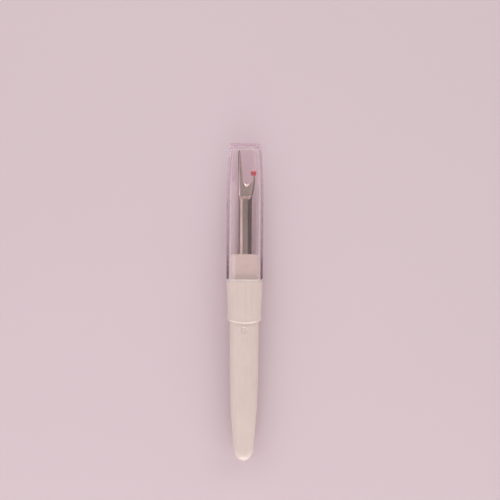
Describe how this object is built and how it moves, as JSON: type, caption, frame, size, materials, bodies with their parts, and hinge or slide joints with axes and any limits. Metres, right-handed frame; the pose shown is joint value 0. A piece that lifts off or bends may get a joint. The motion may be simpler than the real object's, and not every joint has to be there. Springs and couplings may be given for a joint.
{
  "type": "seam ripper",
  "caption": "Seam ripper with a flat-sided moulded handle, a forked steel blade with a safety ball on its short tine, and a clear push-on cap.",
  "frame": {"origin": "under the middle of the capped tool, on the surface that it lies on", "axes": "+Y along the tool towards the point of the blade, +X towards the short ball-tipped tine, +Z out of the front face"},
  "size_m": [0.014, 0.1212, 0.0098],
  "materials": {
    "handle_plastic": "satin",
    "blade_steel": "satin",
    "ball_plastic": "gloss",
    "cap_plastic": "gloss"
  },
  "bodies": {
    "handle": {"handle": "handle_plastic", "blade": "blade_steel", "safety_ball": "ball_plastic"},
    "cap": {"cap": "cap_plastic"}
  },
  "joints": [
    {"name": "cap_slide", "type": "slide", "parent": "handle", "child": "cap", "axis": [0, 1, 0], "range_m": [0, 0.06]}
  ]
}
